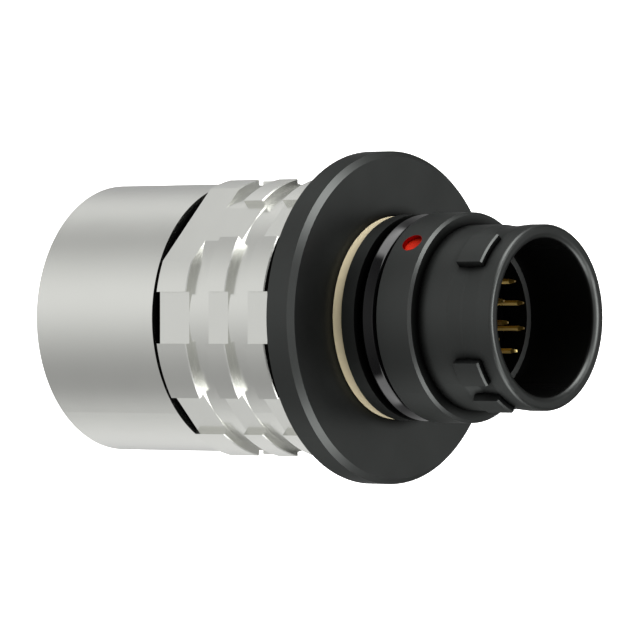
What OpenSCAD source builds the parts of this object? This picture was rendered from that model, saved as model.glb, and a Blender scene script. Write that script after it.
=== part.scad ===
// Circular connector plug with pin contacts, a sealing flange and a turning grip nut.
// The plug stands on its rear end: Z runs from the cable end up to the mouth, and the index dot faces -Y.

/* [Rear sleeve] */
// Outside diameter of the rear sleeve
sleeve_d = 26.9; // [24:0.1:31]
// Thickness of the sleeve's side wall
sleeve_wall = 1.9; // [1.4:0.05:2.4]
// Length of the rear sleeve
sleeve_len = 15.5; // [13:0.5:22]
// Thickness of the sleeve's rear wall
sleeve_end_t = 2; // [1.5:0.1:2.8]
// Diameter of the cable opening in the rear wall
cable_hole_d = 13; // [11:0.5:16]

/* [Cable gland] */
// Diameter of the cable that the grommet closes on
cable_d = 10; // [6:0.5:10.5]
// Gap around the rubber grommet before it is squeezed
grommet_gap = 0.85; // [0.2:0.05:1.5]
// Length of the rubber grommet
grommet_len = 6.2; // [5:0.1:7]
// Thickness of the pressure washer behind the grommet
gland_washer_t = 0.8; // [0.5:0.1:1.2]

/* [Core tube] */
// Height of the step from the sleeve's thread up to the journal that the grip nut turns on
journal_step = 0.3; // [0.25:0.05:0.6]
// Diameter of the wire chamber
chamber_d = 16.8; // [15.4:0.1:17.2]

/* [Grip nut] */
// Height of the ribs above the rear sleeve
rib_rise = 0.55; // [0.3:0.05:1]
// Depth of the grooves between the ribs
nut_groove_depth = 0.8; // [0.6:0.05:1.1]
// Chamfer on the ribs' front edges
rib_chamfer = 0.1; // [0.06:0.01:0.3]
// Width of the rear rib
rear_rib_w = 3.8; // [3:0.1:5]
// Width of the middle and front ribs
rib_w = 2.5; // [1.8:0.1:3.5]
// Width of the grooves between the ribs
nut_groove_w = 2.5; // [1.5:0.1:3.5]
// Number of spanner slots
slot_count = 8; // [4:2:12]
// Width of each spanner slot
slot_w = 5.1; // [3:0.1:6]
// Depth of the two wrench flats on the rear rib
nut_flat_depth = 1; // [0.5:0.05:1.2]
// Thickness of the black ring behind the nut
rear_ring_t = 0.8; // [0.5:0.1:1.5]
// Step from the rear sleeve down to the black ring
rear_ring_step = 0.65; // [0.05:0.05:1]
// Thickness of the black spacer in front of the nut
spacer_t = 2.45; // [1.5:0.05:4]
// Step from the ribs down to the black spacer
spacer_step = 0.65; // [0.2:0.05:1.5]

/* [Flange] */
// Outside diameter of the flange
flange_d = 32.74; // [30:0.02:40]
// Thickness of the flange
flange_t = 3.1; // [2.2:0.02:5]
// Chamfer on the flange's front edge
flange_chamfer = 0.54; // [0.2:0.02:1.2]
// Outside diameter of the face gasket
gasket_d = 19.94; // [19.4:0.02:20]
// Height of the face gasket above the flange
gasket_rise = 1.12; // [0.6:0.01:2]
// Depth of the seat that holds the face gasket
gasket_seat = 0.3; // [0.2:0.05:0.8]

/* [Front shell] */
// Diameter of the threaded spigot that screws into the core tube
spigot_d = 17.6; // [17.4:0.1:18]
// Length of spigot inside the core tube
spigot_reach = 8; // [6.5:0.5:9]
// Diameter of the collar in front of the gasket
collar_d = 20.2; // [20.04:0.02:20.4]
// Width of the collar
collar_w = 1.55; // [0.8:0.05:2.5]
// Width of the groove for the shoulder seal
seal_groove_w = 2.9; // [2.5:0.05:4]
// Width of the shoulder seal
seal_w = 1.16; // [0.8:0.02:1.6]
// Thickness of the shoulder seal
seal_t = 1.4; // [1:0.1:1.6]
// Rounding of the shoulder seal's edges
seal_round = 0.2; // [0.1:0.02:0.35]
// Gap between the shoulder seal and the shoulder
seal_gap = 0.7; // [0.1:0.02:0.8]
// Outside diameter of the shoulder seal
seal_d = 20.26; // [20.2:0.02:20.4]
// Diameter of the shoulder that enters the mating socket
shoulder_d = 20.52; // [20.4:0.02:21.4]
// Width of the shoulder
shoulder_w = 4.08; // [3:0.02:6]
// Chamfer on the shoulder's front edge
shoulder_chamfer = 0.27; // [0.1:0.01:0.5]
// Diameter of the barrel behind the keys
barrel_d = 18.04; // [17.8:0.02:18.4]
// Length of the barrel from the shoulder to its taper
barrel_len = 3.5; // [2.5:0.1:3.8]
// Length of the taper from the barrel down to the neck
taper_len = 1.5; // [0.5:0.1:1.8]
// Diameter of the neck between the keys and the lip
neck_d = 17.66; // [17.2:0.02:17.8]
// Length of the nose from the shoulder to the mouth
nose_len = 8.9; // [8.8:0.1:12]
// Outside diameter of the flared lip
lip_d = 18; // [17.8:0.02:18.4]
// Length of the flare from the neck up to the lip
flare_len = 1.8; // [0.8:0.1:2]
// Length of the lip from the flare to the mouth
lip_len = 1.8; // [1.2:0.1:2.2]
// Rounding of the lip's outer edge
lip_round = 0.35; // [0.2:0.05:0.5]
// Rounding of the lip's inner edge, where the mating socket enters
entry_round = 0.6; // [0.3:0.05:0.7]
// Diameter of the mouth
mouth_d = 15.26; // [15:0.02:15.4]
// Depth of the mouth from the lip to the ledge
mouth_depth = 7.9; // [6.5:0.1:9]
// Diameter of the bore that holds the contact insert
insert_bore_d = 13.96; // [13.6:0.02:14.2]

/* [Keys and index] */
// Diameter over the keys
key_d = 19.24; // [18.5:0.02:19.6]
// Length of the keys
key_len = 3.05; // [2:0.05:3.4]
// Distance from the mouth to the front of the keys
key_setback = 1.94; // [1.8:0.02:3]
// Chamfer on the keys' front edge
key_chamfer = 0.16; // [0.06:0.01:0.3]
// Width of the main key, in line with the index dot
main_key_w = 3.75; // [3:0.05:5]
// Width of the two side keys
side_key_w = 2.65; // [1.5:0.05:3]
// Angle of the first side key from the main key
side_key_angle = 80; // [60:1:85]
// Angle of the second side key from the main key
second_side_key_angle = 109; // [105:1:130]
// Diameter of the index dot
dot_d = 2.05; // [1.2:0.05:2.6]
// Depth of the hole for the index dot
dot_depth = 0.75; // [0.5:0.05:0.9]

/* [Contacts] */
// Diameter of the pins
pin_d = 0.5; // [0.4:0.05:0.9]
// Length of the pins' tapered noses
pin_nose = 0.7; // [0.5:0.05:1]
// Diameter of the pins' collars
pin_collar_d = 1.15; // [1:0.05:1.3]
// Diameter of the solder cups
cup_d = 1; // [0.8:0.05:1.1]
// Length of the solder cups behind the insert
cup_len = 4.5; // [3:0.1:5]
// Pins in the outer ring
outer_pins = 12; // [8:1:14]
// Radius of the outer ring of pins
outer_ring_r = 4.8; // [4.4:0.1:5.2]
// Pins in the inner ring
inner_pins = 6; // [4:1:7]
// Radius of the inner ring of pins
inner_ring_r = 2.2; // [2:0.1:2.6]
// Turn of the pin pattern from the main key
pin_turn = 2.5; // [-10:0.5:10]
// Distance from the mouth to the tips of the pins
tip_depth = 6.45; // [5:0.05:8]
// Distance from the mouth to the face of the front insulator
face_depth = 11.25; // [10.5:0.05:13]
// Width of the key that stops the insert from turning
insert_key_w = 1.2; // [0.8:0.1:2]
// Length of the front insulator
front_insulator_len = 10; // [8:0.5:11]
// Length of the rear insulator
rear_insulator_len = 4.5; // [3.5:0.5:5]

/* [Hidden] */
$fn = 96;

// Clearances and small edges
slip = 0.02;
thread_gap = 0.05;
running_gap = 0.05;
edge_break = 0.15;
fine_break = 0.05;
cut = 1;

// Heights along the axis
sleeve_front = sleeve_len;
ring_front = sleeve_front + rear_ring_t;
nut_len = rear_rib_w + 2 * nut_groove_w + 2 * rib_w;
nut_rear = ring_front + running_gap;
nut_front = nut_rear + nut_len;
spacer_rear = nut_front + running_gap;
flange_rear = spacer_rear + spacer_t;
flange_front = flange_rear + flange_t;
collar_rear = flange_front + gasket_rise;
groove_rear = collar_rear + collar_w;
shoulder_rear = groove_rear + seal_groove_w;
shoulder_front = shoulder_rear + shoulder_w;
mouth_z = shoulder_front + nose_len;
ledge_z = mouth_z - mouth_depth;
tip_z = mouth_z - tip_depth;
face_z = mouth_z - face_depth;
joint_z = face_z - front_insulator_len;
insert_rear = joint_z - rear_insulator_len;
spigot_rear = flange_rear - spigot_reach;
cup_rear = insert_rear - cup_len;
grommet_rear = sleeve_end_t + gland_washer_t;
core_rear = grommet_rear + grommet_len;

// Diameters from the sleeve inwards
sleeve_bore_d = sleeve_d - 2 * sleeve_wall;
core_thread_d = sleeve_bore_d - 2 * thread_gap;
journal_d = core_thread_d + 2 * journal_step;
rear_ring_d = sleeve_d - 2 * rear_ring_step;
nut_d = sleeve_d + 2 * rib_rise;
nut_groove_d = nut_d - 2 * nut_groove_depth;
nut_flats = nut_d - 2 * nut_flat_depth;
spacer_d = nut_d - 2 * spacer_step;

// Cable gland
cable_hole_chamfer = 0.5;
gland_washer_gap = 0.5;
gland_washer_d = sleeve_bore_d - 2 * gland_washer_gap;
grommet_d = sleeve_bore_d - 2 * grommet_gap;
grommet_lip = 0.8;
chamber_chamfer = 1;

// Front shell
entry_z = mouth_z - entry_round;
key_front = mouth_z - key_setback;
stop_d = insert_bore_d - 1;
stop_len = 0.5;
spigot_wall = (spigot_d - insert_bore_d) / 2;
seal_floor_d = seal_d - 2 * seal_t - 2 * slip;
seal_front = shoulder_rear - seal_gap;
index_angle = -90;
dot_z = (shoulder_rear + shoulder_front) / 2;
dot_recess = 0.65 * dot_depth;
dot_dip = 0.15 * dot_depth;
dot_dish_r = 1.5 * dot_d;

// Contact insert
insulator_d = insert_bore_d - 2 * slip;
insert_key_h = 0.4 * spigot_wall;
insert_key_len = 2.5;
insert_seal_section = 1.2;
insert_seal_z = (joint_z + face_z) / 2;
insert_seal_d = insert_bore_d - 2 * slip;
clip_t = 1;
clip_front = insert_rear - slip;
clip_groove_d = insert_bore_d + 0.6 * spigot_wall;
clip_d = clip_groove_d - 2 * slip;
clip_width = 1.2;
clip_gap = 5;
collar_len = 1.1;
pin_tip_d = 0.6 * pin_d;
cup_bore_d = 0.7 * cup_d;
cup_bore_len = 0.7 * cup_len;
// The outer ring starts in line with the main key, and the inner ring half a step later
pin_spots = concat(
    [for (i = [0 : outer_pins - 1]) pin_spot(outer_ring_r, i / outer_pins)],
    [for (i = [0 : inner_pins - 1]) pin_spot(inner_ring_r, (i + 0.5) / inner_pins)],
    [[0, 0]]);

function pin_spot(radius, turn) =
    let (angle = index_angle + pin_turn + 360 * turn)
    [radius * cos(angle), radius * sin(angle)];

// A rectangle in the turning plane, from one radius and height to another
module band(inner_r, outer_r, low, high) {
    translate([inner_r, low]) square([outer_r - inner_r, high - low]);
}

// A turned band whose outer edges are broken, by one size at its low end and another at its high end
module broken_band(inner_r, outer_r, low, high, low_break, high_break) {
    polygon([
        [inner_r, low], [outer_r - low_break, low], [outer_r, low + low_break],
        [outer_r, high - high_break], [outer_r - high_break, high], [inner_r, high]]);
}

// A turned band with both outer edges rounded
module rounded_band(inner_r, outer_r, low, high, round) {
    band(inner_r, outer_r - round, low, high);
    band(inner_r, outer_r, low + round, high - round);
    for (z = [low + round, high - round]) translate([outer_r - round, z]) circle(r = round);
}

// A torus ring seal, given by its outside diameter and section
module seal_ring(outer_d, section, height) {
    rotate_extrude() translate([(outer_d - section) / 2, height]) circle(d = section);
}

// Drilled holes at every pin position
module pin_holes(diameter, low, high) {
    for (spot = pin_spots) translate([spot.x, spot.y, low]) cylinder(d = diameter, h = high - low);
}

module rear_sleeve() {
    color("silver") rotate_extrude() difference() {
        polygon([
            [0, 0], [sleeve_d / 2 - edge_break, 0], [sleeve_d / 2, edge_break],
            [sleeve_d / 2, sleeve_len], [0, sleeve_len]]);
        band(0, sleeve_bore_d / 2, sleeve_end_t, sleeve_len + cut);
        band(0, cable_hole_d / 2, -cut, sleeve_end_t + cut);
        polygon([
            [0, -cable_hole_chamfer], [cable_hole_d / 2 + 2 * cable_hole_chamfer, -cable_hole_chamfer],
            [cable_hole_d / 2, cable_hole_chamfer], [0, cable_hole_chamfer]]);
    }
}

module gland_washer() {
    color("silver") rotate_extrude()
        band(cable_hole_d / 2, gland_washer_d / 2, sleeve_end_t, sleeve_end_t + gland_washer_t);
}

module cable_grommet() {
    color("dimgray") rotate_extrude() difference() {
        broken_band(cable_d / 2, grommet_d / 2, grommet_rear, core_rear, grommet_lip, grommet_lip);
        polygon([
            [cable_d / 2 - cut, grommet_rear - cut], [cable_d / 2 + grommet_lip + cut, grommet_rear - cut],
            [cable_d / 2 - cut, grommet_rear + grommet_lip + cut]]);
    }
}

module core_tube() {
    color("silver") rotate_extrude() difference() {
        union() {
            broken_band(0, core_thread_d / 2, core_rear, ring_front + cut, edge_break, edge_break);
            band(0, journal_d / 2, ring_front, flange_rear);
        }
        band(0, chamber_d / 2, core_rear - cut, flange_rear + cut);
        band(0, spigot_d / 2 + thread_gap, spigot_rear - slip, flange_rear + cut);
        polygon([
            [0, core_rear - cut], [chamber_d / 2 + chamber_chamfer + cut, core_rear - cut],
            [chamber_d / 2, core_rear + chamber_chamfer], [0, core_rear + chamber_chamfer]]);
    }
}

module rear_ring() {
    color("black") rotate_extrude()
        band(core_thread_d / 2 + slip, rear_ring_d / 2, sleeve_front, ring_front);
}

// Three ribs with grooves between them, cut through by the spanner slots and two wrench flats
module grip_nut() {
    first_groove = nut_rear + rear_rib_w;
    second_groove = first_groove + nut_groove_w + rib_w;
    middle_rib = first_groove + nut_groove_w;
    color("silver") difference() {
        rotate_extrude() difference() {
            union() {
                band(0, nut_groove_d / 2, nut_rear, nut_front);
                broken_band(0, nut_d / 2, nut_rear, first_groove, fine_break, rib_chamfer);
                broken_band(0, nut_d / 2, middle_rib, second_groove, fine_break, rib_chamfer);
                broken_band(0, nut_d / 2, nut_front - rib_w, nut_front, fine_break, rib_chamfer);
            }
            band(0, journal_d / 2 + running_gap, nut_rear - cut, nut_front + cut);
        }
        for (i = [0 : slot_count - 1]) rotate(i * 360 / slot_count)
            translate([nut_groove_d / 2, -slot_w / 2, nut_rear - cut])
                cube([nut_d, slot_w, nut_len + 2 * cut]);
        for (side = [0, 180]) rotate(index_angle + side)
            translate([nut_flats / 2, -nut_d / 2, nut_rear - cut])
                cube([nut_d, nut_d, rear_rib_w + nut_groove_w + cut]);
    }
}

module nut_spacer() {
    color("black") rotate_extrude()
        band(journal_d / 2 + slip, spacer_d / 2, spacer_rear, flange_rear);
}

module flange() {
    color("#303030") rotate_extrude() difference() {
        broken_band(0, flange_d / 2, flange_rear, flange_front, fine_break, flange_chamfer);
        band(0, spigot_d / 2 + thread_gap, flange_rear - cut, flange_front + cut);
        band(0, gasket_d / 2 + thread_gap, flange_front - gasket_seat, flange_front + cut);
    }
}

module face_gasket() {
    color("antiquewhite") rotate_extrude()
        band(spigot_d / 2 + thread_gap, gasket_d / 2, flange_front - gasket_seat, collar_rear);
}

// The turned outline of the shell, from the spigot to the rounded lip
module shell_outline() {
    band(0, spigot_d / 2, spigot_rear, groove_rear);
    band(0, collar_d / 2, collar_rear, groove_rear);
    band(0, seal_floor_d / 2, groove_rear - cut, shoulder_rear + cut);
    broken_band(0, shoulder_d / 2, shoulder_rear, shoulder_front, fine_break, shoulder_chamfer);
    nose_outline();
}

// Barrel, taper, neck, flare and the lip, which is rounded on both edges with a flat land between
module nose_outline() {
    lip_rear = mouth_z - lip_len;
    land_r = mouth_d / 2 + entry_round;
    taper_rear = shoulder_front + barrel_len;
    polygon([
        [0, shoulder_front], [barrel_d / 2, shoulder_front], [barrel_d / 2, taper_rear],
        [neck_d / 2, taper_rear + taper_len], [neck_d / 2, lip_rear - flare_len],
        [lip_d / 2, lip_rear], [lip_d / 2, entry_z], [0, entry_z]]);
    band(land_r, lip_d / 2, entry_z - fine_break, mouth_z - lip_round);
    band(land_r, lip_d / 2 - lip_round, entry_z - fine_break, mouth_z);
    translate([lip_d / 2 - lip_round, mouth_z - lip_round]) circle(r = lip_round);
    translate([land_r, entry_z]) circle(r = entry_round);
}

// Bores of the shell: mouth, ledge, insert stop, insert bore and clip groove
module shell_bores() {
    band(0, mouth_d / 2, ledge_z, entry_z);
    band(0, insert_bore_d / 2, face_z + stop_len, ledge_z + cut);
    band(0, stop_d / 2, face_z - cut, ledge_z);
    band(0, insert_bore_d / 2, spigot_rear - cut, face_z);
    band(0, clip_groove_d / 2, clip_front - clip_t - slip, insert_rear);
}

// A key with parallel sides and a chamfered front edge on the outside of the neck
module key(angle, width) {
    rotate(index_angle + angle) intersection() {
        translate([0, -width / 2, key_front - key_len - cut]) cube([key_d, width, key_len + 2 * cut]);
        rotate_extrude() broken_band(
            (neck_d + mouth_d) / 4, key_d / 2, key_front - key_len, key_front, fine_break, key_chamfer);
    }
}

// A round post across the shoulder at the index dot, from one radius out to another
module dot_space(diameter, bottom_r, top_r) {
    rotate(index_angle) translate([bottom_r, 0, dot_z]) rotate([0, 90, 0])
        cylinder(d = diameter, h = top_r - bottom_r);
}

// A block on the insert's outside, used for its key and, wider, for the keyway in the shell
module insert_key(gap, low, high) {
    rotate(index_angle) translate([insulator_d / 2 - cut, -insert_key_w / 2 - gap, low])
        cube([cut + insert_key_h + gap, insert_key_w + 2 * gap, high - low]);
}

module front_shell() {
    color("#303030") difference() {
        union() {
            rotate_extrude() difference() {
                shell_outline();
                shell_bores();
            }
            key(0, main_key_w);
            key(side_key_angle, side_key_w);
            key(second_side_key_angle, side_key_w);
        }
        dot_space(dot_d, shoulder_d / 2 - dot_depth, shoulder_d);
        insert_key(slip, spigot_rear - cut, joint_z + insert_key_len + slip);
    }
}

// Red enamel that fills the bottom of the hole and dips in the middle
module index_dot() {
    fill_top = shoulder_d / 2 - dot_recess;
    color("red") difference() {
        dot_space(dot_d - 2 * slip, shoulder_d / 2 - dot_depth, fill_top);
        rotate(index_angle) translate([fill_top + dot_dish_r - dot_dip, 0, dot_z]) sphere(r = dot_dish_r);
    }
}

module shoulder_seal() {
    color("black") rotate_extrude()
        rounded_band(seal_d / 2 - seal_t, seal_d / 2, seal_front - seal_w, seal_front, seal_round);
}

module front_insulator() {
    seal_space = insert_seal_section + 4 * slip;
    color("#202020") difference() {
        union() {
            translate([0, 0, joint_z]) cylinder(d = insulator_d, h = front_insulator_len);
            insert_key(0, joint_z, joint_z + insert_key_len);
        }
        rotate_extrude() translate([insert_seal_d / 2 - seal_space, insert_seal_z - seal_space / 2])
            square([seal_space + cut, seal_space]);
        pin_holes(pin_d + 2 * slip, joint_z - cut, face_z + cut);
        pin_holes(pin_collar_d + 2 * slip, joint_z - cut, joint_z + collar_len / 2);
    }
}

module rear_insulator() {
    color("#202020") difference() {
        translate([0, 0, insert_rear]) cylinder(d = insulator_d, h = rear_insulator_len);
        pin_holes(cup_d + 2 * slip, insert_rear - cut, joint_z + cut);
        pin_holes(pin_collar_d + 2 * slip, joint_z - collar_len / 2, joint_z + cut);
    }
}

module insert_seal() {
    color("black") seal_ring(insert_seal_d, insert_seal_section, insert_seal_z);
}

// Spring clip behind the insert, open on one side
module insert_clip() {
    color("gray") difference() {
        rotate_extrude() band(clip_d / 2 - clip_width, clip_d / 2, clip_front - clip_t, clip_front);
        translate([0, -clip_gap / 2, clip_front - clip_t - cut]) cube([clip_d, clip_gap, clip_t + 2 * cut]);
    }
}

// One contact: a pin with a tapered, round-tipped nose, the collar that holds it and an open solder cup
module contact(spot) {
    color("gold") translate([spot.x, spot.y, 0]) difference() {
        union() {
            translate([0, 0, cup_rear]) cylinder(d = cup_d, h = joint_z - cup_rear);
            translate([0, 0, joint_z - collar_len / 2]) cylinder(d = pin_collar_d, h = collar_len);
            translate([0, 0, joint_z]) cylinder(d = pin_d, h = tip_z - pin_nose - joint_z);
            translate([0, 0, tip_z - pin_nose]) cylinder(d1 = pin_d, d2 = pin_tip_d, h = pin_nose - pin_tip_d / 2);
            translate([0, 0, tip_z - pin_tip_d / 2]) sphere(d = pin_tip_d);
        }
        translate([0, 0, cup_rear - cut]) cylinder(d = cup_bore_d, h = cup_bore_len + cut);
        translate([0, -cup_d, cup_rear - cut]) cube([cup_d, 2 * cup_d, cup_bore_len / 2 + cut]);
    }
}

rear_sleeve();
gland_washer();
cable_grommet();
core_tube();
rear_ring();
grip_nut();
nut_spacer();
flange();
face_gasket();
front_shell();
shoulder_seal();
index_dot();
front_insulator();
rear_insulator();
insert_seal();
insert_clip();
for (i = [1 : outer_pins])
    contact(pin_spots[i - 1]);
for (i = [1 : inner_pins])
    contact(pin_spots[outer_pins + i - 1]);
contact([0, 0]);  // centre_pin
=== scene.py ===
# %% [markdown]
# A round connector plug, dressed for its picture.
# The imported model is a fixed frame: every solid is in place, in metres, standing on its rear end.
# This lesson adds the camera, the light, three rubber pieces with softer forms, and the finishes.

import math

import bpy
import numpy as np
from mathutils import Matrix, Vector


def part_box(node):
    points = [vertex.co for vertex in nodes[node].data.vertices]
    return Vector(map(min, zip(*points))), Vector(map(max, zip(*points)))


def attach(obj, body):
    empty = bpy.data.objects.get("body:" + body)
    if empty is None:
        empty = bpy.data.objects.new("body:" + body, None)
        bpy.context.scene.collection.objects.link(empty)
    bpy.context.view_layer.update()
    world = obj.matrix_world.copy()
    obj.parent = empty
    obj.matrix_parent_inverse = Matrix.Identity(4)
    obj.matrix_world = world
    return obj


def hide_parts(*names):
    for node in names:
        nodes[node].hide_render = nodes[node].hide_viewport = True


MM = 0.001

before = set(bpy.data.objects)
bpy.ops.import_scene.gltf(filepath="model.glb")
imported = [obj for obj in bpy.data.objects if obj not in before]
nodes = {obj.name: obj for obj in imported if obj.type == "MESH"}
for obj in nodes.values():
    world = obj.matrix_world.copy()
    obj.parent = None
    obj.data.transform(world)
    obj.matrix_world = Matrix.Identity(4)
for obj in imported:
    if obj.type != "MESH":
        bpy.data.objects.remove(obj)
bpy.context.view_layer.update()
scene = bpy.context.scene

# %% [markdown]
# The picture was taken with a long lens, so the plug shows almost no perspective.
# In the picture the axis lies level, with the mouth to the right, but in its frame the plug stands.
# The plug could be laid down, but then it would leave its frame.
# So the camera is rolled about its own line of sight until the axis looks level.

# %% Camera
VIEW_TURN = math.radians(-45)
VIEW_RISE = math.radians(39.5)
VIEW_DISTANCE = 556 * MM
AIM_HEIGHT = 25.891 * MM
AIM_BELOW_AXIS = 0.228 * MM
LENS = 315
SENSOR = 36
NEAREST_SEEN = 0.01
FARTHEST_SEEN = 10

axis = Vector((0, 0, 1))
level = Vector((math.cos(VIEW_TURN), math.sin(VIEW_TURN), 0))
to_camera = level * math.cos(VIEW_RISE) + axis * math.sin(VIEW_RISE)
picture_right = (axis - to_camera * to_camera.dot(axis)).normalized()
picture_up = to_camera.cross(picture_right)

camera_data = bpy.data.cameras.new("camera")
camera_data.lens = LENS
camera_data.sensor_width = SENSOR
camera_data.clip_start = NEAREST_SEEN
camera_data.clip_end = FARTHEST_SEEN
camera = bpy.data.objects.new("camera", camera_data)
rolled = Matrix((picture_right, picture_up, to_camera)).transposed().to_4x4()
aim = axis * AIM_HEIGHT - picture_up * AIM_BELOW_AXIS
camera.matrix_world = Matrix.Translation(aim + to_camera * VIEW_DISTANCE) @ rolled
scene.collection.objects.link(camera)
scene.camera = camera
scene.view_settings.view_transform = "Standard"
print("camera at", [round(v, 3) for v in camera.location])

# %% [markdown]
# A finish is a small formula over the surface, such as a base value plus fine grain.
# Drawn by hand in the node editor, each formula takes many boxes and threads.
# So one class lets plain Python expressions add the nodes, and 1 - mask means what it says.

# %% Shader maths
class Wire:
    """One output of a node tree. The operators +, -, * and ** add Math nodes, also with numbers."""

    def __init__(self, socket):
        self.socket = socket

    @staticmethod
    def add(tree, kind, settings=None, sockets=None, out=0):
        """Add a node of a type: its settings first, then its sockets from values or other wires."""
        node = tree.nodes.new(kind)
        for name, value in (settings or {}).items():
            setattr(node, name, value)
        for name, value in (sockets or {}).items():
            if isinstance(value, Wire):
                tree.links.new(value.socket, node.inputs[name])
            else:
                node.inputs[name].default_value = value
        return Wire(node.outputs[out]) if node.outputs else None

    def then(self, kind, settings=None, sockets=None, out=0):
        """The same, in this wire's own tree."""
        return Wire.add(self.socket.id_data, kind, settings, sockets, out)

    def math(self, operation, first, second=0.0):
        """A Math node on two numbers or wires."""
        return self.then("ShaderNodeMath", {"operation": operation}, {0: first, 1: second})

    def __add__(self, other):
        return self.math("ADD", self, other)

    def __radd__(self, other):
        return self.math("ADD", other, self)

    def __sub__(self, other):
        return self.math("SUBTRACT", self, other)

    def __rsub__(self, other):
        return self.math("SUBTRACT", other, self)

    def __mul__(self, other):
        return self.math("MULTIPLY", self, other)

    def __rmul__(self, other):
        return self.math("MULTIPLY", other, self)

    def __pow__(self, other):
        return self.math("POWER", self, other)

    def exp(self):
        """The number e to the power of this value."""
        return self.math("EXPONENT", self)

    def on_vectors(self, operation, vector):
        """A Vector Math node on this vector and a fixed one, which gives a number."""
        settings = {"operation": operation}
        return self.then("ShaderNodeVectorMath", settings, {0: self, 1: vector}, "Value")

    def dot(self, vector):
        """Dot product of this vector with a fixed one."""
        return self.on_vectors("DOT_PRODUCT", vector)

    def distance(self, point):
        """Distance of this place from a fixed point."""
        return self.on_vectors("DISTANCE", point)

    def step(self, low, high):
        """A smooth step from 0 at low to 1 at high."""
        return self.then(
            "ShaderNodeMapRange",
            {"interpolation_type": "SMOOTHSTEP"},
            {"Value": self, "From Min": low, "From Max": high},
        )

    def edge(self, middle, soft):
        """A smooth step about a middle value, as wide as twice the softness."""
        return self.step(middle - soft, middle + soft)

    def window(self, low, high, soft):
        """1 between low and high and 0 outside, with edges as wide as twice the softness."""
        return self.edge(low, soft) * (1 - self.edge(high, soft))


print("shader maths ready")

# %% [markdown]
# Satin metal and smooth black show little but what they reflect, so the light makes their look.
# Lamps could give it, but a map of the sky needs no lamp objects and lights every view alike.
# In the map each direction has a turn about the axis and a rise above the level, in degrees.
# The turn is 0 on the camera's side, -90 towards the top of the picture and 90 towards its foot.

# %% Sky directions
def compass(turn, rise):
    """Unit vector at a turn and a rise: the rise's cosine spreads it level, and its sine lifts it."""
    turn = VIEW_TURN + math.radians(turn)
    rise = math.radians(rise)
    spread = math.cos(rise)
    return Vector((math.cos(turn) * spread, math.sin(turn) * spread, math.sin(rise)))


world = bpy.data.worlds.new("light_tent")
world.use_nodes = True
sky = world.node_tree
sky.nodes.clear()
direction = Wire.add(sky, "ShaderNodeTexCoord", out="Generated")
sideways = direction.dot(compass(90, 0))
ahead = direction.dot(compass(0, 0))
sky_turn = direction.math("ARCTAN2", sideways, ahead) * math.degrees(1)
sky_rise = direction.math("ARCSINE", direction.dot(axis)) * math.degrees(1)
print("sky directions ready")

# %% [markdown]
# The picture shows a bright panel on each side of the plug and a bright spot beyond its mouth.
# A panel is a window in turn and rise. Softer light is a lobe, which fades away from one direction.
# Under each bright panel is a dim one, because the nickel would be pure white from the side
# if the panels were bright all the way down.
# The camera itself sees plain white, as in the picture.

# %% Light tent
WHITE = (1, 1, 1, 1)
DIM = 0.05
# Turn and rise of the lobe, its brightness, and how tightly it gathers
LOBES = [
    # The bright spot beyond the mouth
    (180, 80, 7.6, 17),
    # Soft light from the camera's side
    (0, 54, 0.5, 20),
    (0, 34, 0.5, 3.5),
    # Level light from behind
    (-135, -5, 0.55, 5),
    (135, -5, 0.55, 5),
    # Light thrown back from below
    (-20, -42, 0.7, 4.8),
    (-110, -46, 0.4, 18),
    (122, -46, 0.46, 5),
    (0, -90, 0.27, 2),
]
# First and last turn of the panel, its lowest and highest rise, its brightness, and its soft edge
PANELS = [
    (-105, -66, -7, 52, 6.4, 5),
    (63, 100, -6, 52, 4.4, 5),
    (-108, -73, -34, -6, 1.0, 8),
    (68, 104, -34, -6, 0.95, 8),
]

glow = DIM
for lobe_turn, lobe_rise, brightness, gather in LOBES:
    falling = direction.dot(compass(lobe_turn, lobe_rise)) - 1
    glow = glow + (falling * gather).exp() * brightness
for first, last, low, high, brightness, soft in PANELS:
    panel = sky_turn.window(first, last, soft) * sky_rise.window(low, high, soft)
    glow = glow + panel * brightness
seen = Wire.add(sky, "ShaderNodeLightPath", out="Is Camera Ray")
strength = glow * (1 - seen) + seen
background = Wire.add(sky, "ShaderNodeBackground", None, {"Color": WHITE, "Strength": strength})
Wire.add(sky, "ShaderNodeOutputWorld", None, {"Surface": background})
scene.world = world
print("light tent:", len(LOBES), "lobes and", len(PANELS), "panels")

# %% [markdown]
# The plug stands on a plain white floor, a hair below its rear end so that the two never mix.
# A lit floor would take shadows and tint the plug from below, and the picture shows neither.
# So the floor glows by itself, and the plug's surfaces don't see it.

# %% Floor
FLOOR_HALF = 3.0
FLOOR_DROP = 0.05 * MM
FLOOR_COLOUR = (0.8, 0.8, 0.8, 1)
FLOOR_GLOW = 1.0

floor_corners = np.array([(-1, -1, 0), (1, -1, 0), (1, 1, 0), (-1, 1, 0)]) * FLOOR_HALF
floor_corners[:, 2] = -FLOOR_DROP
floor_mesh = bpy.data.meshes.new("floor")
floor_mesh.from_pydata(floor_corners.tolist(), [], [(0, 1, 2, 3)])
floor = bpy.data.objects.new("floor", floor_mesh)
scene.collection.objects.link(floor)
floor.visible_diffuse = False
floor.visible_glossy = False
floor.visible_shadow = False
floor_white = bpy.data.materials.new("floor_white")
floor_white.use_nodes = True
floor_shader = floor_white.node_tree.nodes["Principled BSDF"]
floor_shader.inputs["Base Color"].default_value = FLOOR_COLOUR
floor_shader.inputs["Emission Color"].default_value = WHITE
floor_shader.inputs["Emission Strength"].default_value = FLOOR_GLOW
floor_mesh.materials.append(floor_white)
print("floor", 2 * FLOOR_HALF, "m wide")

# %% [markdown]
# The moulded rings are turned forms: a closed profile carried once round the axis.
# A Screw modifier could do it, but two outer products give every point at once.
# They also leave the mesh plain, with nothing to apply.

# %% Turned pieces
TURN_STEPS = 240


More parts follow.
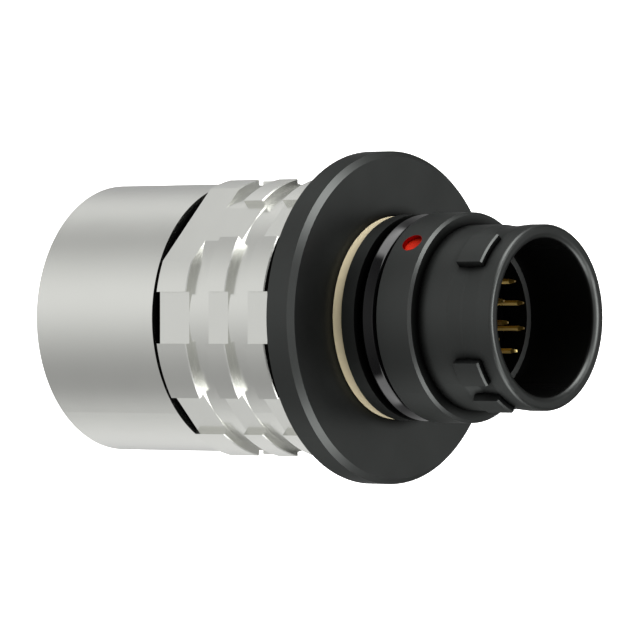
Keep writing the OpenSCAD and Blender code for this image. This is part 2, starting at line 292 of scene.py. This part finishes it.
def turned_piece(name, radius, height, node, body):
    """Carry a closed profile once round the axis, as a piece that stands for a node.

    x and y are the radius times the cosine and the sine of the turn, and z is the height.
    The profile runs anticlockwise, with the radius to the right, so that the faces point outwards.
    """
    angle = np.linspace(0, 2 * np.pi, TURN_STEPS, endpoint=False)
    x = np.outer(radius, np.cos(angle))
    y = np.outer(radius, np.sin(angle))
    z = np.outer(height, np.ones(TURN_STEPS))
    points = np.stack([x, y, z], axis=-1)
    index = np.arange(x.size).reshape(x.shape)
    along = np.roll(index, -1, axis=0)
    around = np.roll(index, -1, axis=1)
    opposite = np.roll(along, -1, axis=1)
    quads = np.stack([index, around, opposite, along], axis=-1)
    mesh = bpy.data.meshes.new(name)
    mesh.from_pydata(points.reshape(-1, 3).tolist(), [], quads.reshape(-1, 4).tolist())
    mesh.polygons.foreach_set("use_smooth", np.ones(len(mesh.polygons), dtype=bool))
    piece = bpy.data.objects.new(name, mesh)
    scene.collection.objects.link(piece)
    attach(piece, body)
    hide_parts(node)
    print(name, "has", len(mesh.polygons), "faces")
    return piece


def reach(node):
    """Outer radius, lowest and highest point of a turned node."""
    low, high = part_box(node)
    return high[0], low[2], high[2]


print("turned pieces take", TURN_STEPS, "steps round the axis")

# %% [markdown]
# The shoulder seal is a moulded rubber ring with a sloping face, so that the socket slides over it.
# A torus could stand for it, but its face would be round and would mirror the light elsewhere.
# So the profile is two round corners joined by the slope, with the hidden inner wall behind them.

# %% Shoulder seal
SEAL_REAR_CORNER = 0.15 * MM
SEAL_FRONT_CORNER = 0.3 * MM
SEAL_SLOPE = math.radians(25)
SEAL_FACE = 0.74 * MM
SEAL_WALL = 1.4 * MM
SEAL_CORNER_POINTS = 14

seal_outer, seal_low, _ = reach("shoulder_seal")
rear_turn = np.linspace(-np.pi / 2, SEAL_SLOPE, SEAL_CORNER_POINTS)
front_turn = np.linspace(SEAL_SLOPE, np.pi / 2, SEAL_CORNER_POINTS)
rear_r = seal_outer - SEAL_REAR_CORNER
rear_z = seal_low + SEAL_REAR_CORNER
thicker = SEAL_REAR_CORNER - SEAL_FRONT_CORNER
front_r = rear_r - SEAL_FACE * math.sin(SEAL_SLOPE) + thicker * math.cos(SEAL_SLOPE)
front_z = rear_z + SEAL_FACE * math.cos(SEAL_SLOPE) + thicker * math.sin(SEAL_SLOPE)
inner_r = seal_outer - SEAL_WALL
seal_radius = np.concatenate([
    [inner_r],
    rear_r + SEAL_REAR_CORNER * np.cos(rear_turn),
    front_r + SEAL_FRONT_CORNER * np.cos(front_turn),
    [inner_r],
])
seal_height = np.concatenate([
    [seal_low],
    rear_z + SEAL_REAR_CORNER * np.sin(rear_turn),
    front_z + SEAL_FRONT_CORNER * np.sin(front_turn),
    [front_z + SEAL_FRONT_CORNER],
])
seal = turned_piece("moulded_seal", seal_radius, seal_height, "shoulder_seal", "plug")

# %% [markdown]
# The face gasket is a flat ring punched from sheet, squeezed between the flange and the collar.
# A Bevel modifier could break its edges, but squeezed rubber has no sharp start to its rounding.
# A rounded square gives that in one formula: a circle with its cosine and sine made steep.

# %% Face gasket
GASKET_POINTS = 96
GASKET_HOLE = 8.85 * MM
GASKET_SQUARE = 0.16


def steepened(wave):
    """A wave from -1 to 1 made almost square: its size to a small power, with its sign kept."""
    return np.sign(wave) * np.abs(wave) ** GASKET_SQUARE


gasket_outer, gasket_low, gasket_high = reach("face_gasket")
loop = np.linspace(-np.pi, np.pi, GASKET_POINTS, endpoint=False) + np.pi / GASKET_POINTS
half_width = (gasket_outer - GASKET_HOLE) / 2
half_thickness = (gasket_high - gasket_low) / 2
gasket_radius = (gasket_outer + GASKET_HOLE) / 2 + steepened(np.cos(loop)) * half_width
gasket_height = (gasket_low + gasket_high) / 2 + steepened(np.sin(loop)) * half_thickness
gasket = turned_piece(
    "squeezed_gasket", gasket_radius, gasket_height, "face_gasket", "plug"
)

# %% [markdown]
# The cable grommet is soft rubber with ribs in its bore, which close on the cable.
# The ribs could be separate rings, but in moulded rubber they run into each other.
# So the bore follows a cosine wave, and the outer corners are rounded.

# %% Cable grommet
GROMMET_BORE = 5.0 * MM
RIB_DEPTH = 0.4 * MM
RIB_COUNT = 4
BORE_POINTS = 60
GROMMET_CORNER = 0.8 * MM
GROMMET_CORNER_POINTS = 12

grommet_outer, grommet_low, grommet_high = reach("cable_grommet")
corner_angle = np.linspace(0, np.pi / 2, GROMMET_CORNER_POINTS)
low_corner_r = grommet_outer - GROMMET_CORNER + GROMMET_CORNER * np.sin(corner_angle)
low_corner_z = grommet_low + GROMMET_CORNER - GROMMET_CORNER * np.cos(corner_angle)
high_corner_r = low_corner_r[::-1]
high_corner_z = grommet_low + grommet_high - low_corner_z[::-1]
bore_share = np.linspace(0, 1, BORE_POINTS)
rib_wave = 0.5 + 0.5 * np.cos(2 * np.pi * RIB_COUNT * bore_share)
bore_r = GROMMET_BORE + RIB_DEPTH * rib_wave
bore_z = grommet_high + (grommet_low - grommet_high) * bore_share
grommet_radius = np.concatenate([low_corner_r, high_corner_r, bore_r])
grommet_height = np.concatenate([low_corner_z, high_corner_z, bore_z])
grommet = turned_piece(
    "ribbed_grommet", grommet_radius, grommet_height, "cable_grommet", "plug"
)

# %% [markdown]
# Every finish starts from the same things: the height, the distance from the axis, and fine noise.
# Painted images could hold them, but nodes stay sharp at any size and need no unwrapping.
# Turned metal is marked by the tool in rings, so its marks follow the height plus the distance.

# %% Finish helpers
RING_DETAIL = 3.0
OPENNESS_SAMPLES = 8


class Finish:
    """A material with its main shader, and the places on a piece that its formulas read."""

    def __init__(self, name, constants):
        self.name = name
        self.colour = None
        self.material = bpy.data.materials.new(name + "_finish")
        self.material.use_nodes = True
        self.tree = self.material.node_tree
        self.shader = self.tree.nodes["Principled BSDF"]
        for socket, value in constants.items():
            self.shader.inputs[socket].default_value = value
        self.place = Wire.add(self.tree, "ShaderNodeTexCoord", out="Object")
        self.height = self.place.dot((0, 0, 1))
        side = self.place.dot((1, 0, 0))
        depth = self.place.dot((0, 1, 0))
        self.radius = (side * side + depth * depth) ** 0.5

    def feed(self, socket, wire):
        """Lead a wire to a socket of the main shader."""
        self.tree.links.new(wire.socket, self.shader.inputs[socket])

    def facing(self, way):
        """How far the surface faces a fixed way: 1 towards it, 0 across it and -1 away from it."""
        return Wire.add(self.tree, "ShaderNodeTexCoord", out="Normal").dot(way)

    def grain(self, size, detail):
        """Noise in space, with features of about the given size in metres, from 0 to 1."""
        sockets = {"Vector": self.place, "Scale": 1 / size, "Detail": detail}
        return Wire.add(self.tree, "ShaderNodeTexNoise", None, sockets)

    def rings(self, pitch):
        """Noise that runs in rings round the axis, with about the given pitch in metres."""
        path = (self.height + self.radius) * (1 / pitch)
        sockets = {"W": path, "Scale": 1.0, "Detail": RING_DETAIL}
        return Wire.add(self.tree, "ShaderNodeTexNoise", {"noise_dimensions": "1D"}, sockets)

    def tint(self, amount, dark, light):
        """Mix the base colour from two colours by an amount from 0 to 1.

        Where the dark colour is None, the light one goes over the colour so far.
        """
        first = (*dark, 1) if dark else self.colour
        sockets = {"Factor": amount, "A": first, "B": (*light, 1)}
        self.colour = Wire.add(self.tree, "ShaderNodeMix", {"data_type": "RGBA"}, sockets, "Result")
        self.feed("Base Color", self.colour)

    def openness(self, distance):
        """How open the surface is within a distance in metres, from 0 in a tight corner to 1."""
        settings = {"samples": OPENNESS_SAMPLES}
        return Wire.add(
            self.tree, "ShaderNodeAmbientOcclusion", settings, {"Distance": distance}, "AO"
        )

    def relief(self, bump, depth):
        """Raise the surface by a bump from 0 to 1, to the given depth in metres."""
        sockets = {"Height": bump, "Strength": 1.0, "Distance": depth}
        self.feed("Normal", Wire.add(self.tree, "ShaderNodeBump", None, sockets))


print("finish helpers ready")

# %% [markdown]
# The sleeve and the nut are turned brass with satin nickel, a slightly warm grey metal.
# One even roughness could do, but no turned part looks that clean.
# So rings from the tool and a faint cloud vary the gloss, and the nut is a little duller all over.

# %% Satin nickel
NICKEL_DARK = (0.705, 0.71, 0.675)
NICKEL_LIGHT = (0.735, 0.74, 0.705)
TOOL_PITCH = 0.22 * MM
TOOL_RELIEF = 0.0003 * MM
CLOUD_SIZE = 4 * MM
CLOUD_DETAIL = 3.0
NUT_EDGE = 0.02 * MM
NICKEL_ROUGHNESS = 0.14
TOOL_ROUGHNESS = 0.06
CLOUD_ROUGHNESS = 0.04
NUT_ROUGHNESS = 0.06

_, nut_low, nut_high = reach("grip_nut")
satin_nickel = Finish("satin_nickel", {"Metallic": 1.0})
tool_rings = satin_nickel.rings(TOOL_PITCH)
cloud = satin_nickel.grain(CLOUD_SIZE, CLOUD_DETAIL)
nut = satin_nickel.height.window(nut_low, nut_high, NUT_EDGE)
satin_nickel.tint(cloud, NICKEL_DARK, NICKEL_LIGHT)
nickel_marks = tool_rings * TOOL_ROUGHNESS + cloud * CLOUD_ROUGHNESS + nut * NUT_ROUGHNESS
satin_nickel.feed("Roughness", NICKEL_ROUGHNESS + nickel_marks)
satin_nickel.relief(tool_rings, TOOL_RELIEF)
print("satin nickel, duller from", round(nut_low / MM, 2), "to", round(nut_high / MM, 2), "mm")

# %% [markdown]
# The flange and the front shell are aluminium, blasted and then anodised black.
# The dyed skin lets about a sixteenth of the metal's gloss through, and not much more at a slant.
# Black plastic would be brighter at a slant, so this is a dark metal with a dim tint at its edge.
# Its colour is painted darker in tight corners as painted shade, and a wall is a little rougher than
# a face across the axis.

# %% Black anodised
ANODISED_DARK = (0.058, 0.061, 0.059)
ANODISED_LIGHT = (0.066, 0.069, 0.067)
SLANT_TINT = (0.4, 0.4, 0.4, 1)
CORNER_SHADE_BLACK = (0.004, 0.004, 0.004)
CORNER_REACH = 1.2 * MM
CORNER_SHARE = 1.8
BLAST_SIZE = 0.1 * MM
BLAST_DETAIL = 1.0
BLAST_RELIEF = 0.0004 * MM
HANDLING_SIZE = 3.5 * MM
HANDLING_DETAIL = 3.0
ANODISED_ROUGHNESS = 0.28
BLAST_ROUGHNESS = 0.06
HANDLING_ROUGHNESS = 0.04
WALL_ROUGHNESS = 0.1

black_anodised = Finish("black_anodised", {"Metallic": 1.0, "Specular Tint": SLANT_TINT})
blast = black_anodised.grain(BLAST_SIZE, BLAST_DETAIL)
handling = black_anodised.grain(HANDLING_SIZE, HANDLING_DETAIL)
# Painted shade: the colour darkens where the surface is closed in.
tight = (1 - black_anodised.openness(CORNER_REACH)) * CORNER_SHARE
black_anodised.tint(handling, ANODISED_DARK, ANODISED_LIGHT)
black_anodised.tint(tight, None, CORNER_SHADE_BLACK)
upright = black_anodised.facing(axis)
wall = 1 - upright * upright
anodised_marks = blast * BLAST_ROUGHNESS + handling * HANDLING_ROUGHNESS + wall * WALL_ROUGHNESS
black_anodised.feed("Roughness", ANODISED_ROUGHNESS + anodised_marks)
black_anodised.relief(blast, BLAST_RELIEF)
print("black anodised ready")

# %% [markdown]
# Inside the mouth the skin is painted darker as painted shade, and the narrow ledge at its foot is a
# plain dull grey.
# Both could be separate materials, but the shell is one piece with one slot.
# So the height and the distance from the axis say where each of them begins.

# %% Mouth of the shell
EDGE_SOFT = 0.03 * MM
MOUTH_RADIUS = 7.7 * MM
MOUTH_FROM = 43 * MM
MOUTH_SHADE_BLACK = (0.016, 0.0165, 0.016)
LEDGE_HEIGHT = 46.4 * MM
LEDGE_SOFT = 0.004 * MM
LEDGE_GREY = (0.055, 0.057, 0.055)

above = black_anodised.height.edge(MOUTH_FROM, EDGE_SOFT)
mouth = above * (1 - black_anodised.radius.edge(MOUTH_RADIUS, EDGE_SOFT))
ledge_low = LEDGE_HEIGHT - 2 * LEDGE_SOFT
ledge_high = LEDGE_HEIGHT + 2 * LEDGE_SOFT
ledge = mouth * black_anodised.height.window(ledge_low, ledge_high, LEDGE_SOFT)
# Painted shade inside the mouth; the ledge's grey goes over it.
black_anodised.tint(mouth, None, MOUTH_SHADE_BLACK)
black_anodised.tint(ledge, None, LEDGE_GREY)
black_anodised.feed("Metallic", 1 - ledge)
print("mouth darkened from", round(MOUTH_FROM / MM, 2), "mm up")

# %% [markdown]
# The enamel of the index dot was run into a round hole in the shoulder and wets the hole's wall.
# The wall belongs to the shell, so the shell's finish turns red within the hole's circle.

# %% Hole of the dot
HOLE_RED = (0.35, 0.004, 0.003)
HOLE_FROM_AXIS = 9 * MM

dot_low, dot_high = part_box("index_dot")
dot_height = (dot_low[2] + dot_high[2]) / 2
dot_radius = (dot_high[2] - dot_low[2]) / 2
from_middle = black_anodised.place.dot((1, 0, 0))
from_dot_height = black_anodised.height - dot_height
from_dot = (from_middle * from_middle + from_dot_height * from_dot_height) ** 0.5
dot_side = black_anodised.place.dot((0, -1, 0)).edge(HOLE_FROM_AXIS, EDGE_SOFT)
dot_hole = dot_side * (1 - from_dot.step(dot_radius + EDGE_SOFT, dot_radius + 2 * EDGE_SOFT))
black_anodised.tint(dot_hole, None, HOLE_RED)
print("hole of the dot at", round(dot_height / MM, 2), "mm")

# %% [markdown]
# The rings in the two gaps are dull black polymer, deep in shadow.
# A usual plastic would still mirror the panels there, so the mirror layer is taken off.
# What is left is the polymer's black, painted darker still as painted shade, with a fine moulded
# grain.

# %% Black polymer
POLYMER_DARK = (0.0003, 0.0003, 0.0003)
POLYMER_LIGHT = (0.0008, 0.0008, 0.0008)
MOULD_SIZE = 0.3 * MM
MOULD_DETAIL = 2.0
POLYMER_ROUGHNESS = 0.6
MOULD_ROUGHNESS = 0.2

black_polymer = Finish("black_polymer", {"Specular IOR Level": 0.0})
mould = black_polymer.grain(MOULD_SIZE, MOULD_DETAIL)
# The polymer's black is painted almost pure black as painted shade in the gaps.
black_polymer.tint(mould, POLYMER_DARK, POLYMER_LIGHT)
black_polymer.feed("Roughness", POLYMER_ROUGHNESS + mould * MOULD_ROUGHNESS)
print("black polymer ready")

# %% [markdown]
# The shoulder seal is smooth black rubber with a film of grease.
# A clear coat could stand for the grease, but the rubber's own weak gloss is enough.
# The gloss is kept sharp, so the panels show as thin lines, and smears of grease vary it.

# %% Gloss seal
SEAL_DARK = (0.002, 0.002, 0.0022)
SEAL_LIGHT = (0.004, 0.004, 0.0044)
SEAL_GLOSS = 0.3
GREASE_SIZE = 1.6 * MM
GREASE_DETAIL = 2.0
SEAL_ROUGHNESS = 0.05
GREASE_ROUGHNESS = 0.06

gloss_seal = Finish("gloss_seal", {"Specular IOR Level": SEAL_GLOSS})
grease = gloss_seal.grain(GREASE_SIZE, GREASE_DETAIL)
gloss_seal.tint(grease, SEAL_DARK, SEAL_LIGHT)
gloss_seal.feed("Roughness", SEAL_ROUGHNESS + grease * GREASE_ROUGHNESS)
print("gloss seal ready")

# %% [markdown]
# The face gasket is cream silicone with a fine skin, painted paler by the flange as a painted
# highlight and darker in front as painted shade.
# A flat cream would look like paint, so the colour follows the height and is broken by blotches.

# %% Cream gasket
CREAM_PAINTED_LIGHT = (0.86, 0.75, 0.5)
CREAM_PAINTED_SHADE = (0.42, 0.36, 0.235)
BLOTCH_SIZE = 1.2 * MM
BLOTCH_DETAIL = 4.0
BLOTCH_SHARE = 0.2
SKIN_SIZE = 0.12 * MM
SKIN_DETAIL = 2.0
SKIN_RELIEF = 0.003 * MM
CREAM_ROUGHNESS = 0.42
SKIN_ROUGHNESS = 0.2

cream_gasket = Finish("cream_gasket", {})
blotch = cream_gasket.grain(BLOTCH_SIZE, BLOTCH_DETAIL)
skin = cream_gasket.grain(SKIN_SIZE, SKIN_DETAIL)
light_to_shade = (cream_gasket.height - gasket_low) * (1 / (gasket_high - gasket_low))
# Painted highlight towards the flange and painted shade towards the front, broken by real blotches.
cream_gasket.tint(light_to_shade + blotch * BLOTCH_SHARE, CREAM_PAINTED_LIGHT, CREAM_PAINTED_SHADE)
cream_gasket.feed("Roughness", CREAM_ROUGHNESS + skin * SKIN_ROUGHNESS)
cream_gasket.relief(skin, SKIN_RELIEF)
print("cream gasket ready")

# %% [markdown]
# The index dot is red enamel that sank into a shallow dish as it dried.
# It lies deep in its hole and mirrors little, so its gloss is set low, and slow pools vary the red.

# %% Red enamel
ENAMEL_DARK = (0.36, 0.012, 0.004)
ENAMEL_LIGHT = (0.48, 0.02, 0.006)
ENAMEL_GLOSS = 0.06
POOL_SIZE = 0.5 * MM
POOL_DETAIL = 2.0
ENAMEL_ROUGHNESS = 0.3
POOL_ROUGHNESS = 0.1

red_enamel = Finish("red_enamel", {"Specular IOR Level": ENAMEL_GLOSS})
pool = red_enamel.grain(POOL_SIZE, POOL_DETAIL)
red_enamel.tint(pool, ENAMEL_DARK, ENAMEL_LIGHT)
red_enamel.feed("Roughness", ENAMEL_ROUGHNESS + pool * POOL_ROUGHNESS)
print("red enamel ready")

# %% [markdown]
# The insert that holds the contacts is moulded black plastic, and only its face shows in the mouth.
# It could share the polymer of the gap rings, but it is a harder plastic and keeps a weak gloss.

# %% Black insulator
INSULATOR_DARK = (0.002, 0.002, 0.002)
INSULATOR_LIGHT = (0.004, 0.004, 0.004)
MOULDING_SIZE = 0.2 * MM
MOULDING_DETAIL = 2.0
INSULATOR_ROUGHNESS = 0.5
MOULDING_ROUGHNESS = 0.2

black_insulator = Finish("black_insulator", {})
moulding = black_insulator.grain(MOULDING_SIZE, MOULDING_DETAIL)
black_insulator.tint(moulding, INSULATOR_DARK, INSULATOR_LIGHT)
black_insulator.feed("Roughness", INSULATOR_ROUGHNESS + moulding * MOULDING_ROUGHNESS)
print("black insulator ready")

# %% [markdown]
# The contacts are plated with a warm, slightly dull gold.
# Pure metal would mirror only the black walls round it, so most of this finish is plain colour.
# One side of each pin is painted bright as a painted highlight, and the inner pins are painted darker
# as painted shade.

# %% Gold contacts
GOLD_DARK = (0.3, 0.15, 0.01)
GOLD_LIGHT = (0.42, 0.22, 0.02)
GOLD_METAL = 0.2
PLATING_SIZE = 0.4 * MM
PLATING_DETAIL = 3.0
GOLD_ROUGHNESS = 0.3
PLATING_ROUGHNESS = 0.12
HIGHLIGHT_GOLD = (1.0, 0.72, 0.24)
HIGHLIGHT_TURN = 50
HIGHLIGHT_FROM = 0.35
HIGHLIGHT_FULL = 0.9
INNER_RING = 3.4 * MM
INNER_SHADE_GOLD = (0.08, 0.035, 0.004)
INNER_SHADE_SHARE = 0.85

gold_contact = Finish("gold_contact", {"Metallic": GOLD_METAL})
plating = gold_contact.grain(PLATING_SIZE, PLATING_DETAIL)
# Painted highlight on the side of each pin that faces one fixed way, and painted shade on the inner
# pins.
side_highlight = gold_contact.facing(compass(HIGHLIGHT_TURN, 0)).step(HIGHLIGHT_FROM, HIGHLIGHT_FULL)
inner = 1 - gold_contact.radius.step(INNER_RING, INNER_RING + EDGE_SOFT)
gold_contact.tint(plating, GOLD_DARK, GOLD_LIGHT)
gold_contact.tint(side_highlight, None, HIGHLIGHT_GOLD)
gold_contact.tint(inner * INNER_SHADE_SHARE, None, INNER_SHADE_GOLD)
gold_contact.feed("Roughness", GOLD_ROUGHNESS + plating * PLATING_ROUGHNESS)
print("gold contacts ready")

# %% [markdown]
# The noses of the pins are painted dark as painted shade, apart from one that gets a painted
# highlight.
# They have no slot of their own, so the height marks the noses.
# The distance from one pin's tip marks the painted highlight.

# %% Noses of the contacts
PIN_NOSE = 0.75 * MM
NOSE_SHADE_GOLD = (0.09, 0.055, 0.008)
NOSE_FULL = 0.8 * PIN_NOSE
TIP_HIGHLIGHT_GOLD = (1.0, 0.8, 0.3)
TIP_FULL = 0.25 * PIN_NOSE
TIP_REACH = 0.5 * PIN_NOSE

pin_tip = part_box("centre_pin")[1][2]
# Painted shade on the noses, and a painted highlight on one tip.
nose_shade = gold_contact.height.step(pin_tip - PIN_NOSE, pin_tip - NOSE_FULL)
gold_contact.tint(nose_shade, None, NOSE_SHADE_GOLD)
pin_low, pin_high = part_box("outer_pin_7")
highlight_tip = ((pin_low[0] + pin_high[0]) / 2, (pin_low[1] + pin_high[1]) / 2, pin_high[2])
from_tip = gold_contact.place.distance(highlight_tip)
gold_contact.tint(1 - from_tip.step(TIP_FULL, TIP_REACH), None, TIP_HIGHLIGHT_GOLD)
print("noses end at", round(pin_tip / MM, 2), "mm")

# %% [markdown]
# The grommet is dull rubber with a dusty bloom, and shows through the hole for the cable.
# The spring clip stays hidden, but the plug comes apart, and then every piece is seen.
# So both get a grain of their own: the bloom in space, and the marks of rolling in rings.

# %% Rubber and steel
RUBBER_DARK = (0.01, 0.01, 0.01)
RUBBER_LIGHT = (0.022, 0.022, 0.021)
BLOOM_SIZE = 0.8 * MM
BLOOM_DETAIL = 4.0
BLOOM_RELIEF = 0.004 * MM
RUBBER_ROUGHNESS = 0.62
BLOOM_ROUGHNESS = 0.2
STEEL_DARK = (0.4, 0.4, 0.4)
STEEL_LIGHT = (0.5, 0.5, 0.49)
ROLLING_PITCH = 0.1 * MM
STEEL_ROUGHNESS = 0.25
ROLLING_ROUGHNESS = 0.15

black_rubber = Finish("black_rubber", {})
bloom = black_rubber.grain(BLOOM_SIZE, BLOOM_DETAIL)
black_rubber.tint(bloom, RUBBER_DARK, RUBBER_LIGHT)
black_rubber.feed("Roughness", RUBBER_ROUGHNESS + bloom * BLOOM_ROUGHNESS)
black_rubber.relief(bloom, BLOOM_RELIEF)

spring_steel = Finish("spring_steel", {"Metallic": 1.0})
rolling = spring_steel.rings(ROLLING_PITCH)
spring_steel.tint(rolling, STEEL_DARK, STEEL_LIGHT)
spring_steel.feed("Roughness", STEEL_ROUGHNESS + rolling * ROLLING_ROUGHNESS)
print("rubber and steel ready")

# %% [markdown]
# Each solid already carries a slot with a name, so the finishes go on by name.
# They could be put on piece by piece, but then a piece could be forgotten.
# The three rubber pieces are new and have no slot yet, so they get theirs here.

# %% Put the finishes on
FINISHES = [
    satin_nickel,
    black_anodised,
    black_polymer,
    gloss_seal,
    cream_gasket,
    red_enamel,
    black_insulator,
    gold_contact,
    black_rubber,
    spring_steel,
]

by_name = {finish.name: finish.material for finish in FINISHES}
for node in nodes.values():
    for slot in node.material_slots:
        slot.material = by_name[slot.material.name.split(".")[0]]
for piece, name in ((seal, "gloss_seal"), (gasket, "cream_gasket"), (grommet, "black_rubber")):
    piece.data.materials.append(by_name[name])
print("finishes on", len(nodes), "nodes")
